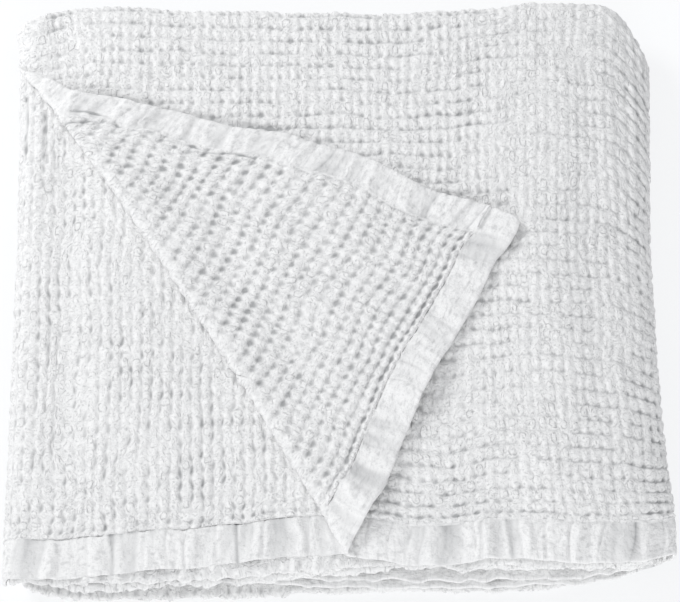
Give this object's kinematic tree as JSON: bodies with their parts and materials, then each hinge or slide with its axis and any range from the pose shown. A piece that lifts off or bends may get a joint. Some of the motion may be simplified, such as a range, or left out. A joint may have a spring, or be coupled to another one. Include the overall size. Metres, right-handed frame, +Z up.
{
  "type": "folded waffle blanket",
  "caption": "Waffle weave cotton blanket folded to a near-square stack, with a corner of its top ply turned back.",
  "frame": {"origin": "middle of the flat underside, where the stack rests", "axes": "+Z up, -Y towards the front, where the hems lie, +X to the right along the front, towards the rounded side fold"},
  "size_m": [0.4531, 0.4335, 0.0589],
  "materials": {
    "waffle_cotton": "white stonewashed cotton in a deep waffle weave, matt, with plain puckered hems"
  },
  "bodies": {
    "root": {"blanket": "waffle_cotton"}
  },
  "joints": []
}
